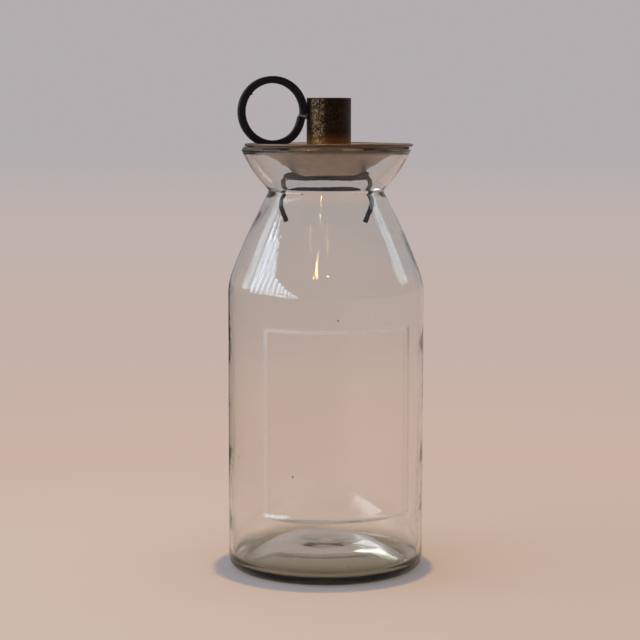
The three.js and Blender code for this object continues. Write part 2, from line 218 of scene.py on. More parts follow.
# Columns stand closer together where the panel's side edges run down the glass, and rows at its ends
side_angle = math.asin(PANEL_HALF_WIDTH / BODY_RADIUS)
fine = np.linspace(-math.pi, math.pi, 4001)
crowding = 1 + 4.0 * sum(np.exp(-((fine - s * side_angle) / 0.04) ** 2) for s in (-1, 1))
share = np.concatenate([[0], np.cumsum((crowding[1:] + crowding[:-1]) / 2)])
bottle_angles = np.interp(np.arange(240) / 240, share / share[-1], fine)

panel_ends = np.concatenate([end + np.arange(-3, 3, 0.4) for end in (PANEL_LOW, PANEL_HIGH)])
glass_outside = rounded_outline(BOTTLE_OUTSIDE + BOTTLE_INSIDE[:1], run=2.2)[:-1]
glass_inside = rounded_outline(BOTTLE_OUTSIDE[-1:] + BOTTLE_INSIDE, run=4.0)[1:]
glass_outside = with_rows(glass_outside, BODY_RADIUS, panel_ends)
glass_inside = with_rows(glass_inside, BODY_INSIDE_RADIUS, panel_ends)
outside = spun(glass_outside, bottle_angles)
inside = spun(glass_inside, bottle_angles)

# Outside: the panel's recess with soft edges, and waves that take away up to about 0.12 mm
on_wall = smooth_step(outside[..., 2], 6, 20)
skin = 0.03 * (slow_waves(outside, 3, (1, 9), (18, 70)) - 2) * on_wall
recess = panel_share(outside, 2.4, 3.6)
outside = pushed_out(outside, skin - PANEL_DEPTH * recess)
# The recess's edge is a little matt, most of all at its upper end
matt_edge = 4 * recess * (1 - recess) * (0.3 + 0.7 * smooth_step(outside[..., 2], 120, 137))
# Inside: stronger waves, and the panel's recess again, a little softer and shallower
on_wall = smooth_step(inside[..., 2], 12, 30) * (1 - smooth_step(inside[..., 2], 224, 234))
waves = 0.13 * slow_waves(inside, 11, (1, 6), (30, 140)) * on_wall
inside = pushed_out(inside, waves - PANEL_DEPTH_INSIDE * panel_share(inside, 2.8, 3.6))

bottle = grid_mesh("glass_bottle", np.concatenate([outside, inside]), poles=True,
                   around=2 * math.pi * BODY_RADIUS,
                   edge=np.concatenate([matt_edge, np.zeros(inside.shape[:2])]))


def node(tree, kind, sockets=None, **settings):
    """A new node: its settings by name, and its inputs set to a value or linked to a socket."""
    made = tree.nodes.new(kind)
    for name, value in settings.items():
        setattr(made, name, value)
    for name, value in (sockets or {}).items():
        if isinstance(value, bpy.types.NodeSocket):
            tree.links.new(value, made.inputs[name])
        else:
            made.inputs[name].default_value = value
    return made


def between(tree, value, low, high, first=0.0, last=1.0, smooth=True):
    """A number that goes from first to last as the value goes from low to high; smooth eases both ends."""
    sockets = {"Value": value, "From Min": low, "From Max": high, "To Min": first, "To Max": last}
    return node(tree, "ShaderNodeMapRange", sockets, interpolation_type="SMOOTHSTEP" if smooth else "LINEAR").outputs[0]


def blend(tree, share, first, second):
    """A colour between two, each a socket or red, green and blue: the first at share 0, the second at 1."""
    first, second = [c if isinstance(c, bpy.types.NodeSocket) else (*c, 1) for c in (first, second)]
    return node(tree, "ShaderNodeMix", {0: share, 6: first, 7: second}, data_type="RGBA").outputs[2]


def maths(tree, operation, first, second):
    """The result of an operation on two numbers, each a value or a socket."""
    return node(tree, "ShaderNodeMath", {0: first, 1: second}, operation=operation).outputs[0]


def new_material(name):
    """An empty material with its tree and its output node."""
    material = bpy.data.materials.new(name)
    material.use_nodes = True
    material.node_tree.nodes.clear()
    return material, material.node_tree, material.node_tree.nodes.new("ShaderNodeOutputMaterial")


# Clear glass with a faint level ripple and a few seeds in its skin, more of them near the mouth. Its tint
# carries painted shade: dark olive at its lip and near black where the lip is seen at a slant, olive at
# its foot over the thick glass's own colour, and dark brown wherever it is seen at a slant. Below the
# middle the tint fades to white.
glass, tree, output = new_material("bottle_glass")
place = node(tree, "ShaderNodeTexCoord").outputs["Object"]
level = node(tree, "ShaderNodeVectorMath", {0: place, 1: (0.45, 0.45, 1.0)}, operation="MULTIPLY")
ripple = node(tree, "ShaderNodeTexNoise", {"Vector": level.outputs[0], "Scale": 230.0, "Detail": 1.0, "Roughness": 0.5})
seed_cells = node(tree, "ShaderNodeTexVoronoi", {"Vector": place, "Scale": 120.0, "Randomness": 1.0})
seeds = between(tree, seed_cells.outputs["Distance"], 0.0, 0.08, 1.0, 0.0)
rare = node(tree, "ShaderNodeSeparateColor", {"Color": seed_cells.outputs["Color"]})
across = node(tree, "ShaderNodeSeparateXYZ", {"Vector": place}).outputs["X"]
height = node(tree, "ShaderNodeSeparateXYZ", {"Vector": place}).outputs["Z"]
spared = between(tree, height, 0.205, 0.215, 0.93, 0.72, smooth=False)
few = maths(tree, "GREATER_THAN", rare.outputs["Red"], spared)
seeds = maths(tree, "MULTIPLY", seeds, few)
rippled = node(tree, "ShaderNodeBump", {"Strength": 1.0, "Distance": 0.00005, "Height": ripple.outputs["Fac"]})
seeded = node(tree, "ShaderNodeBump", {"Strength": 1.0, "Distance": 0.0006, "Height": seeds,
                                       "Normal": rippled.outputs[0]})
rim = node(tree, "ShaderNodeLayerWeight", {"Blend": 0.5})
low_wall = between(tree, height, 0.1, 0.06, smooth=False)
rim_start = between(tree, low_wall, 0.0, 1.0, 0.85, 0.76, smooth=False)
# Painted shade: the glass's tint turns dark brown where it is seen at a slant
slant_shade_share = between(tree, rim.outputs["Facing"], rim_start, 0.97)
below_middle = between(tree, height, 0.145, 0.1)
wall_tint = blend(tree, below_middle, (0.948, 0.962, 0.965), (1.0, 1.0, 1.0))
# Painted shade: below 13.5 mm the tint turns olive, adding the dark of the foot's contact with the paper to the thick
# glass's own colour
foot = between(tree, height, 0.0135, 0.005)
foot_shade_tint = blend(tree, foot, wall_tint, (0.44, 0.47, 0.37))
# Painted shade: at the lip the tint is dark olive, and near black where the lip is seen at a slant
lip = between(tree, height, 0.2354, 0.2374)
lip_end = between(tree, rim.outputs["Facing"], 0.08, 0.3)
lip_shade_colour = blend(tree, lip_end, (0.42, 0.37, 0.3), (0.03, 0.034, 0.022))
lip_shade_tint = blend(tree, lip, foot_shade_tint, lip_shade_colour)
tint = blend(tree, slant_shade_share, lip_shade_tint, (0.2, 0.17, 0.13))
clear = node(tree, "ShaderNodeBsdfPrincipled", {"Base Color": tint, "Metallic": 0.0, "Roughness": 0.0,
                                                "IOR": 1.5, "Transmission Weight": 1.0, "Normal": seeded.outputs[0]})
# The panel's edge scatters a little of the light that falls on it; on the right its colour is painted shade, near black
edge_mask = node(tree, "ShaderNodeAttribute", attribute_name="edge")
shaded_right_edge = between(tree, across, 0.0382, 0.0395, smooth=False)
matt_and_shade_colour = blend(tree, shaded_right_edge, (0.9, 0.88, 0.86), (0.04, 0.035, 0.03))
matt = node(tree, "ShaderNodeBsdfDiffuse", {"Color": matt_and_shade_colour})
weight = maths(tree, "MULTIPLY", edge_mask.outputs["Fac"], 0.3)
skin_mix = node(tree, "ShaderNodeMixShader", {0: weight, 1: clear.outputs[0], 2: matt.outputs[0]})
# Its shadow is faint, but darker where light meets the wall at a slant, and pale and warm at the base
slant = between(tree, rim.outputs["Facing"], 0.42, 0.62)
low = between(tree, height, 0.022, 0.006)
wall_shade = blend(tree, slant, (0.93, 0.94, 0.92), (0.3, 0.29, 0.28))
shade = blend(tree, low, wall_shade, (0.97, 0.91, 0.83))
see_through = node(tree, "ShaderNodeBsdfTransparent", {"Color": shade})
ray = node(tree, "ShaderNodeLightPath")
passing = maths(tree, "MAXIMUM", ray.outputs["Is Shadow Ray"], ray.outputs["Is Diffuse Ray"])
mixed = node(tree, "ShaderNodeMixShader", {0: passing, 1: skin_mix.outputs[0], 2: see_through.outputs[0]})
depth = node(tree, "ShaderNodeVolumeAbsorption", {"Color": (0.62, 0.53, 0.32, 1), "Density": 34.0})
tree.links.new(mixed.outputs[0], output.inputs["Surface"])
tree.links.new(depth.outputs[0], output.inputs["Volume"])
bottle.data.materials.append(glass)
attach(bottle, "bottle")
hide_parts("bottle")


# ---------------------------------------------------------------------------------------------
# Drip dish. Thin steel sheet spun to a shallow funnel with a flat floor and a level flange, and
# coloured an antique copper brown. The flange rests on the bottle's lip and isn't fastened to it.

DISH_RADIUS, DISH_FLOOR = 47.35, 225.4
# Corners in millimetres: radius, height, rounding. Out along the underside, back along the top
DISH_CORNERS = [
    (0, 224, 0), (15.9, 224, 6.5), (42.35, 239.6, 4), (DISH_RADIUS, 239.6, 0.4), (DISH_RADIUS, 241, 0.4),
    (41.97, 241, 4), (15.52, DISH_FLOOR, 5.1), (0, DISH_FLOOR, 0),
]
# The dish, and with it the socket and the ring, sits this far off the bottle's axis in the mouth's play
DISH_SHIFT = np.array([1.381, -0.231, 0])
even_angles = np.arange(240) * 2 * math.pi / 240
dish_outline = rounded_outline(DISH_CORNERS, run=1.2)
dish_grid = spun(dish_outline, even_angles)
# The flange of thin sheet isn't quite level: it lifts up to 0.5 mm at its edge, in slow waves
dish_radius = np.hypot(dish_grid[..., 0], dish_grid[..., 1])
lift = 0.25 * (1 + np.sin(2 * even_angles + 2.1) * 0.7 + np.sin(5 * even_angles + 0.4) * 0.3)
dish_grid[..., 2] += lift * smooth_step(dish_radius, 43.5, DISH_RADIUS) ** 2
dish_edge = smooth_step(dish_radius, 46.7, 47.3)
dish = grid_mesh("pressed_dish", dish_grid + DISH_SHIFT, poles=True, around=2 * math.pi * 46, edge=dish_edge)


def new_group(name, inputs, outputs):
    """An empty shader node group: its tree, its input node and its output node."""
    group = bpy.data.node_groups.new(name, "ShaderNodeTree")
    for socket, kind, value in inputs:
        made = group.interface.new_socket(socket, in_out="INPUT", socket_type=kind)
        made.default_value = value
    for socket, kind in outputs:
        group.interface.new_socket(socket, in_out="OUTPUT", socket_type=kind)
    return group, group.nodes.new("NodeGroupInput"), group.nodes.new("NodeGroupOutput")


def use_group(tree, group, sockets):
    """The group placed in a material, with that material's own values."""
    return node(tree, "ShaderNodeGroup", sockets, node_tree=group)


# Patches of a patina: Mask is 0 in the bare patches and 1 in the dark ones, Height their unevenness
patina, given, result = new_group(
    "patina",
    [("Scale", "NodeSocketFloat", 100.0), ("Softness", "NodeSocketFloat", 0.15), ("Level", "NodeSocketFloat", 0.5)],
    [("Mask", "NodeSocketFloat"), ("Height", "NodeSocketFloat")])
place = node(patina, "ShaderNodeTexCoord").outputs["Object"]
cloud = node(patina, "ShaderNodeTexNoise", {"Vector": place, "Scale": given.outputs["Scale"], "Detail": 8.0,
                                            "Roughness": 0.62})
low = maths(patina, "SUBTRACT", given.outputs["Level"], given.outputs["Softness"])
high = maths(patina, "ADD", given.outputs["Level"], given.outputs["Softness"])
mask = between(patina, cloud.outputs["Fac"], low, high)
patina.links.new(mask, result.inputs["Mask"])
patina.links.new(cloud.outputs["Fac"], result.inputs["Height"])

dish_metal, tree, output = new_material("dish_metal")
patches = use_group(tree, patina, {"Scale": 130.0, "Softness": 0.16, "Level": 0.5})
spots = use_group(tree, patina, {"Scale": 520.0, "Softness": 0.05, "Level": 0.68})
place = node(tree, "ShaderNodeTexCoord").outputs["Object"]
from_middle = node(tree, "ShaderNodeVectorMath", {0: place, 1: tuple(DISH_SHIFT * 0.001)}, operation="SUBTRACT")
level = node(tree, "ShaderNodeVectorMath", {0: from_middle.outputs[0], 1: (1, 1, 0)}, operation="MULTIPLY")
radius = node(tree, "ShaderNodeVectorMath", {0: level.outputs[0]}, operation="LENGTH")
flange = between(tree, radius.outputs["Value"], 0.0415, 0.0432)
brown = blend(tree, patches.outputs["Mask"], (0.44, 0.35, 0.29), (0.39, 0.3, 0.24))
spotted = blend(tree, spots.outputs["Mask"], brown, (0.22, 0.08, 0.04))
edge_mask = node(tree, "ShaderNodeAttribute", attribute_name="edge")
# Partly painted shade: on the flange its own red-brown is darkened for the gap where it rests on the lip
flange_colour_and_shade = blend(tree, flange, spotted, (0.1, 0.042, 0.026))
# Painted highlight: the flange's very edge is lighter, rubbed bare and lit where it catches the light
bare_and_sheen = blend(tree, edge_mask.outputs["Fac"], flange_colour_and_shade, (0.2, 0.12, 0.085))
rough = between(tree, patches.outputs["Height"], 0.0, 1.0, 0.3, 0.55, smooth=False)
grain = node(tree, "ShaderNodeBump", {"Strength": 0.3, "Distance": 0.0002, "Height": patches.outputs["Height"]})
metal = node(tree, "ShaderNodeBsdfPrincipled", {"Base Color": bare_and_sheen, "Metallic": 0.85,
                                                "Roughness": rough, "Normal": grain.outputs[0]})
tree.links.new(metal.outputs[0], output.inputs["Surface"])
dish.data.materials.append(dish_metal)
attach(dish, "candle_head")
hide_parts("drip_dish")


# ---------------------------------------------------------------------------------------------
# Candle socket. A length of thin tube, darkened almost black-brown and rubbed back to gold-brown
# flecks and fine scratches, brazed upright on the middle of the dish's floor.

SOCKET_RADIUS, SOCKET_BORE_RADIUS, SOCKET_TOP = 12.5, 11.2, 266.6
SOCKET_CORNERS = [(SOCKET_BORE_RADIUS, DISH_FLOOR, 0), (SOCKET_RADIUS, DISH_FLOOR, 0),
                  (SOCKET_RADIUS, SOCKET_TOP, 0.4), (SOCKET_BORE_RADIUS, SOCKET_TOP, 0.4)]
back_angles = math.pi + np.arange(160) * 2 * math.pi / 160
socket_outline = rounded_outline(SOCKET_CORNERS, run=1.0, turn=15, closed=True)
socket_grid = spun(socket_outline, back_angles)
socket_edge = smooth_step(socket_grid[..., 2], 265.9, 266.5)
socket = grid_mesh("socket_tube", socket_grid + DISH_SHIFT, closed_rows=True, sharp=60,
                   around=2 * math.pi * SOCKET_RADIUS, edge=socket_edge)

# Fine scratches that run one way: thin streaks of noise, stretched along them. Vector is in metres
scratches, given, result = new_group(
    "scratches",
    [("Vector", "NodeSocketVector", (0, 0, 0)), ("Angle", "NodeSocketFloat", 0.0),
     ("Closeness", "NodeSocketFloat", 1500.0), ("Level", "NodeSocketFloat", 0.6)],
    [("Mask", "NodeSocketFloat")])
turned = node(scratches, "ShaderNodeVectorRotate", {"Vector": given.outputs["Vector"], "Angle": given.outputs["Angle"]},
              rotation_type="Z_AXIS")
stretched = node(scratches, "ShaderNodeVectorMath", {0: turned.outputs[0], 1: (1.0, 0.14, 1.0)}, operation="MULTIPLY")
streaks = node(scratches, "ShaderNodeTexNoise", {"Vector": stretched.outputs[0], "Scale": given.outputs["Closeness"],
                                                 "Detail": 3.0, "Roughness": 0.55})
above = maths(scratches, "ADD", given.outputs["Level"], 0.09)
mask = between(scratches, streaks.outputs["Fac"], given.outputs["Level"], above)
scratches.links.new(mask, result.inputs["Mask"])

socket_metal, tree, output = new_material("socket_metal")
around = node(tree, "ShaderNodeUVMap", uv_map="surface").outputs["UV"]
left = use_group(tree, scratches, {"Vector": around, "Angle": 0.7, "Closeness": 2400.0, "Level": 0.52})
right = use_group(tree, scratches, {"Vector": around, "Angle": -0.55, "Closeness": 2700.0, "Level": 0.53})
upright = use_group(tree, scratches, {"Vector": around, "Angle": 0.1, "Closeness": 2200.0, "Level": 0.55})
flecks = use_group(tree, patina, {"Scale": 800.0, "Softness": 0.12, "Level": 0.5})
crossed = maths(tree, "MAXIMUM", left.outputs[0], right.outputs[0])
crossed = maths(tree, "MAXIMUM", crossed, upright.outputs[0])
rubbed = maths(tree, "MULTIPLY", crossed, flecks.outputs["Mask"])
# The flecks show fully only in a stripe up the tube, to the left of the front: a painted highlight where
# the light from the left falls. The rest keeps a tenth of that. On the tube's outside the product is the
# cosine of the angle from the stripe's middle
place = node(tree, "ShaderNodeTexCoord").outputs["Object"]
from_middle = node(tree, "ShaderNodeVectorMath", {0: place, 1: tuple(DISH_SHIFT * 0.001)}, operation="SUBTRACT")
facing = node(tree, "ShaderNodeVectorMath", {0: from_middle.outputs[0], 1: (-51.7, -61.0, 0)}, operation="DOT_PRODUCT")
painted_highlight = between(tree, facing.outputs["Value"], 0.91, 0.985, 0.1)
rubbed = maths(tree, "MULTIPLY", rubbed, painted_highlight)
height = node(tree, "ShaderNodeSeparateXYZ", {"Vector": place}).outputs["Z"]
# Painted reflection: the lowest part of the tube warms to orange, for the copper-brown dish round its foot
low = between(tree, height, 0.2484, 0.2364)
painted_dish_glow = blend(tree, low, (0.022, 0.012, 0.008), (0.26, 0.105, 0.026))
gold = blend(tree, rubbed, painted_dish_glow, (0.5, 0.29, 0.12))
edge_mask = node(tree, "ShaderNodeAttribute", attribute_name="edge")
top = blend(tree, edge_mask.outputs["Fac"], gold, (0.03, 0.022, 0.018))
rough = between(tree, rubbed, 0.0, 1.0, 0.46, 0.36, smooth=False)
grain = node(tree, "ShaderNodeBump", {"Strength": 0.5, "Distance": 0.0001, "Height": crossed})
metal = node(tree, "ShaderNodeBsdfPrincipled", {"Base Color": top, "Metallic": 0.9,
                                                "Roughness": rough, "Normal": grain.outputs[0]})
tree.links.new(metal.outputs[0], output.inputs["Surface"])
socket.data.materials.append(socket_metal)
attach(socket, "candle_head")
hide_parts("candle_socket")


# ---------------------------------------------------------------------------------------------
# Socket braze. The thin uneven fillet of braze metal that ran round the foot of the socket and
# fixes it to the dish's floor.

braze_outline = rounded_outline([(SOCKET_RADIUS, DISH_FLOOR, 0), (14, DISH_FLOOR, 0.1), (12.9, 225.9, 0.6),
                                 (SOCKET_RADIUS, 226.7, 0.1)], run=0.3, turn=20, closed=True)
braze_grid = spun(braze_outline, back_angles)
uneven = 0.35 * np.sin(7 * back_angles + 1) + 0.3 * np.sin(19 * back_angles) + 0.2 * np.sin(43 * back_angles + 2)
reach = np.hypot(braze_grid[..., 0], braze_grid[..., 1]) - SOCKET_RADIUS
braze_grid = pushed_out(braze_grid, reach * 0.35 * uneven)
braze_grid[..., 2] += (braze_grid[..., 2] - DISH_FLOOR) * 0.3 * uneven
braze = grid_mesh("braze_fillet", braze_grid + DISH_SHIFT, closed_rows=True, around=2 * math.pi * 13)

weld_metal, tree, output = new_material("weld_metal")
scale_skin = use_group(tree, patina, {"Scale": 700.0, "Softness": 0.1, "Level": 0.52})
shade = blend(tree, scale_skin.outputs["Mask"], (0.36, 0.32, 0.28), (0.07, 0.05, 0.04))
rough = between(tree, scale_skin.outputs["Mask"], 0.0, 1.0, 0.3, 0.6, smooth=False)
grain = node(tree, "ShaderNodeBump", {"Strength": 0.8, "Distance": 0.0003, "Height": scale_skin.outputs["Height"]})
metal = node(tree, "ShaderNodeBsdfPrincipled", {"Base Color": shade, "Metallic": 0.9,
                                                "Roughness": rough, "Normal": grain.outputs[0]})
tree.links.new(metal.outputs[0], output.inputs["Surface"])
braze.data.materials.append(weld_metal)
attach(braze, "candle_head")
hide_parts("socket_braze")


# ---------------------------------------------------------------------------------------------
# Finger ring. A square iron bar, 4 mm, bent to a circle and painted black. Its two cut ends meet at
# the socket, the lower one a little nearer the middle, and it stands close above the dish.

RING_MIDDLE = (-32.6, 258.78)
RING_RADIUS = 17.8
RING_TURN = 7.0
RING_BAR = 4.0
RING_GAP, RING_GAP_ANGLE = 1.6, -7.5


def swept_grid(path, section, rounding=0.4):
    """Points of a bar in millimetres: rows along a path in the plane y = 0, columns round it.

    At each point of the path the section's first number is laid along the path's normal, (dz, 0, -dx)
    of its direction, and the second along +Y. Each end closes in a pole, and the section shrinks to
    it over `rounding` as a quarter circle does: its scale is the root of 1 - (1 - s)^2.
    """
    step = np.hypot(*np.diff(path, axis=0).T)
    along = np.concatenate([[0], np.cumsum(step)])
    close = rounding * np.array([0, 0, 0.05, 0.2, 0.5, 1])
    shrink = np.sqrt(1 - (1 - np.array([0, 0, 0.05, 0.2, 0.5, 1])) ** 2)
    shrink = 1 - rounding / np.abs(section).max() * (1 - shrink)
    shrink[0] = 0
    inner = along[(along > rounding * 1.5) & (along < along[-1] - rounding * 1.5)]
    where = np.concatenate([close, inner, along[-1] - close[::-1]])
    scale = np.concatenate([shrink, np.ones(len(inner)), shrink[::-1]])
    x, z = np.interp(where, along, path[:, 0]), np.interp(where, along, path[:, 1])
    towards = np.gradient(path, axis=0)
    towards /= np.hypot(*towards.T)[:, None]
    dx, dz = np.interp(where, along, towards[:, 0]), np.interp(where, along, towards[:, 1])
    a, b = section[None, :, 0] * scale[:, None], section[None, :, 1] * scale[:, None]
    return np.stack([x[:, None] + a * dz[:, None], b, z[:, None] - a * dx[:, None]], 2)


def turned_level(grid, degrees):
    """The grid turned about the Z axis by an angle, counter-clockwise seen from above."""
    cos, sin = math.cos(math.radians(degrees)), math.sin(math.radians(degrees))
    x, y = grid[..., 0], grid[..., 1]
    return np.stack([x * cos - y * sin, x * sin + y * cos, grid[..., 2]], 2)


# The lower end draws in by 1 mm over the last 50 degrees
half_gap = math.degrees(RING_GAP / 2 / RING_RADIUS)
last_turn = RING_GAP_ANGLE + 360 - half_gap
turns = np.linspace(RING_GAP_ANGLE + half_gap, last_turn, 240)
left_over = last_turn - turns
ring_radius = RING_RADIUS - 1.0 * (1 - smooth_step(left_over, 0, 50))
ring_path = np.stack([RING_MIDDLE[0] + ring_radius * np.cos(np.radians(turns)),
                      RING_MIDDLE[1] + ring_radius * np.sin(np.radians(turns))], 1)
ring_section = rounded_outline([(x * RING_BAR / 2, y * RING_BAR / 2, 0.45)
                                for x, y in ((-1, -1), (1, -1), (1, 1), (-1, 1))], run=0.9, turn=22, closed=True)
ring_grid = swept_grid(ring_path, ring_section)
# A small burr stands on the inner edge, up and left of the middle
spoke = np.stack([ring_grid[..., 0] - RING_MIDDLE[0], ring_grid[..., 2] - RING_MIDDLE[1]], 2)
spoke_angle = np.degrees(np.arctan2(spoke[..., 1], spoke[..., 0]))
inner_face = smooth_step(RING_RADIUS - np.hypot(spoke[..., 0], spoke[..., 1]), 0.5, 1.9)
burr = 0.7 * np.exp(-((spoke_angle - 142) / 1.6) ** 2) * inner_face * smooth_step(-ring_grid[..., 1], -1, 1.6)
ring_grid[..., 0] -= spoke[..., 0] / RING_RADIUS * burr
ring_grid[..., 2] -= spoke[..., 1] / RING_RADIUS * burr
edge_near = np.minimum(np.abs(ring_section[:, 0]), np.abs(ring_section[:, 1]))
ring_edge = np.broadcast_to(smooth_step(edge_near, 1.4, 1.8), ring_grid.shape[:2])
ring = grid_mesh("finger_loop", turned_level(ring_grid, RING_TURN) + DISH_SHIFT, poles=True, sharp=50,
                 around=4 * RING_BAR, edge=ring_edge)

black_iron, tree, output = new_material("black_iron")
skin = use_group(tree, patina, {"Scale": 380.0, "Softness": 0.15, "Level": 0.5})
edge_mask = node(tree, "ShaderNodeAttribute", attribute_name="edge")
chips = use_group(tree, patina, {"Scale": 900.0, "Softness": 0.06, "Level": 0.57})
rubbed = maths(tree, "MULTIPLY", edge_mask.outputs["Fac"], chips.outputs["Mask"])
black = blend(tree, skin.outputs["Mask"], (0.006, 0.004, 0.005), (0.011, 0.007, 0.007))
shown = blend(tree, rubbed, black, (0.045, 0.034, 0.03))
rough = between(tree, skin.outputs["Height"], 0.0, 1.0, 0.38, 0.6, smooth=False)
grain = node(tree, "ShaderNodeBump", {"Strength": 0.4, "Distance": 0.0002, "Height": skin.outputs["Height"]})
paint = node(tree, "ShaderNodeBsdfPrincipled", {"Base Color": shown, "Metallic": 0.1,
                                                "Specular IOR Level": 0.3, "Roughness": rough,
                                                "Normal": grain.outputs[0]})
tree.links.new(paint.outputs[0], output.inputs["Surface"])
ring.data.materials.append(black_iron)
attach(ring, "candle_head")
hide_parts("finger_ring")


# ---------------------------------------------------------------------------------------------
# Ring weld. A small ragged bead of bright weld metal that fills the cut between the ring's ends and
# fixes both to the side of the socket.


def lump_grid(centre, size, seed, rough=0.1, rows=28, columns=40):
    """Points of a bead of weld metal: an egg shape with its poles on the X axis.

    Row by row the angle from the pole grows from 0 to a half turn. The radius is 1 plus `rough` times
    a sum of seeded sine waves of the place on the egg, and each axis is scaled by half its size.
    """
    dice = np.random.default_rng(seed)
    polar = np.linspace(0, math.pi, rows)[:, None]
    turn = np.linspace(0, 2 * math.pi, columns, endpoint=False)[None, :]
    unit = np.stack([-np.cos(polar) + 0 * turn, np.sin(polar) * np.cos(turn), -np.sin(polar) * np.sin(turn)], 2)
    swell = sum(np.sin(unit @ dice.normal(0, f, 3) + dice.uniform(0, 6.3)) / f for f in (2, 3, 5, 8, 12, 16))
    radius = 1 + rough * swell
    return np.array(centre) + unit * radius[..., None] * np.array(size) / 2


gap_angle = math.radians(RING_GAP_ANGLE)
weld_place = (RING_MIDDLE[0] + RING_RADIUS * math.cos(gap_angle) + 0.2, 0,
              RING_MIDDLE[1] + RING_RADIUS * math.sin(gap_angle))
weld_grid = lump_grid(weld_place, (6.0, 4.6, 2.9), 5, rough=0.3)
ring_weld = grid_mesh("loop_weld", turned_level(weld_grid, RING_TURN) + DISH_SHIFT, poles=True)
ring_weld.data.materials.append(weld_metal)
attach(ring_weld, "candle_head")
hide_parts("ring_weld")


# ---------------------------------------------------------------------------------------------
# Neck clip. Iron wire, 2.6 mm, bent to a wide staple with in-turned tips. It is welded under the
# dish's floor, and its two legs hang through the bottle's neck and keep the head in the mouth.

CLIP_TURN = -9.5
CLIP_WIRE_RADIUS = 1.3
CLIP_PATH = [(-22.1, 196.7, 0), (-26.1, 206.7, 12), (-24.3, 223.7, 3.5), (-12.5, 222.4, 12), (12.5, 222.4, 12),
             (24.3, 223.7, 3.5), (26.1, 206.7, 12), (22.1, 196.7, 0)]
circle = np.arange(20) * 2 * math.pi / 20
clip_path = rounded_outline(CLIP_PATH, run=0.7, turn=5)
clip_section = CLIP_WIRE_RADIUS * np.stack([np.cos(circle), np.sin(circle)], 1)
clip_grid = swept_grid(clip_path, clip_section, rounding=0.5)
# The wire is scaled and pitted: its thickness changes by up to an eighth, in waves along and round it
middle_line = clip_grid.mean(1, keepdims=True)
steps_along = np.arange(len(clip_grid))[:, None]
uneven = 0.6 * np.sin(0.9 * steps_along + circle + 1) + 0.4 * np.sin(2.3 * steps_along - 2 * circle)
clip_grid = middle_line + (clip_grid - middle_line) * (1.03 + 0.12 * uneven)[..., None]
clip = grid_mesh("neck_wire", turned_level(clip_grid, CLIP_TURN), poles=True, sharp=60,
                 around=2 * math.pi * CLIP_WIRE_RADIUS)

clip_iron, tree, output = new_material("clip_iron")
rust = use_group(tree, patina, {"Scale": 300.0, "Softness": 0.12, "Level": 0.52})
pits = use_group(tree, patina, {"Scale": 1100.0, "Softness": 0.08, "Level": 0.5})
brown = blend(tree, rust.outputs["Mask"], (0.012, 0.009, 0.009), (0.03, 0.018, 0.013))
pitted = blend(tree, pits.outputs["Mask"], brown, (0.016, 0.011, 0.010))
bare_and_sheen = maths(tree, "SUBTRACT", 1.0, rust.outputs["Mask"])
shine = maths(tree, "MULTIPLY", bare_and_sheen, 0.08)
rough = between(tree, rust.outputs["Mask"], 0.0, 1.0, 0.75, 0.95, smooth=False)
grain = node(tree, "ShaderNodeBump", {"Strength": 0.9, "Distance": 0.0004, "Height": pits.outputs["Height"]})
metal = node(tree, "ShaderNodeBsdfPrincipled", {"Base Color": pitted, "Metallic": shine,
                                                "Specular IOR Level": 0.2, "Roughness": rough,
                                                "Normal": grain.outputs[0]})
tree.links.new(metal.outputs[0], output.inputs["Surface"])
clip.data.materials.append(clip_iron)
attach(clip, "candle_head")
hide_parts("neck_clip")


# ---------------------------------------------------------------------------------------------
# Clip welds. Two rough rusty beads of weld metal that fix the clip's bar to the underside of the
# dish, one near each end of its floor.

under = dish_outline[: np.argmax(dish_outline[:, 0]) + 1]
for side, cad_weld, seed in ((-1, "clip_weld_left", 21), (1, "clip_weld_right", 34)):
    bead = turned_level(lump_grid((side * 18.5, 0, 224.3), (11, 5.4, 5.0), seed, rough=0.22), CLIP_TURN)
    # The bead stops 0.5 mm up in the sheet that it is fused to
    from_middle = bead - DISH_SHIFT
    sheet_height = np.interp(np.hypot(from_middle[..., 0], from_middle[..., 1]), under[:, 0], under[:, 1])
    bead[..., 2] = np.minimum(bead[..., 2], sheet_height + 0.5)
    weld = grid_mesh(cad_weld.replace("clip_weld", "weld_bead"), bead, poles=True)
    weld.data.materials.append(clip_iron)
    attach(weld, "candle_head")
    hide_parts(cad_weld)


# ---------------------------------------------------------------------------------------------
# Floor and backdrop. A wide sheet of pale paper, warm near the bottle and cooler far off, lit
# softly. Near the bottle it takes light and shadow, and where the glass is looked through part of it is
# painted light; further off it is a plain even background.

PAPER_COLOUR = (0.60, 0.452, 0.386)
# How much of its even tone the paper near the bottle shows where it is seen through the glass: painted
# light that fills its shade there
TONE_THROUGH_GLASS = 0.4
rings = np.concatenate([[0], np.geomspace(20, 40000, 60)])
floor_grid = spun(np.stack([rings, np.zeros(len(rings))], 1), -np.arange(64) * 2 * math.pi / 64)
floor = grid_mesh("paper_floor", np.concatenate([floor_grid, floor_grid[-1:] - (0, 0, 5), floor_grid[:1] - (0, 0, 5)]),
                  poles=True, sharp=40)

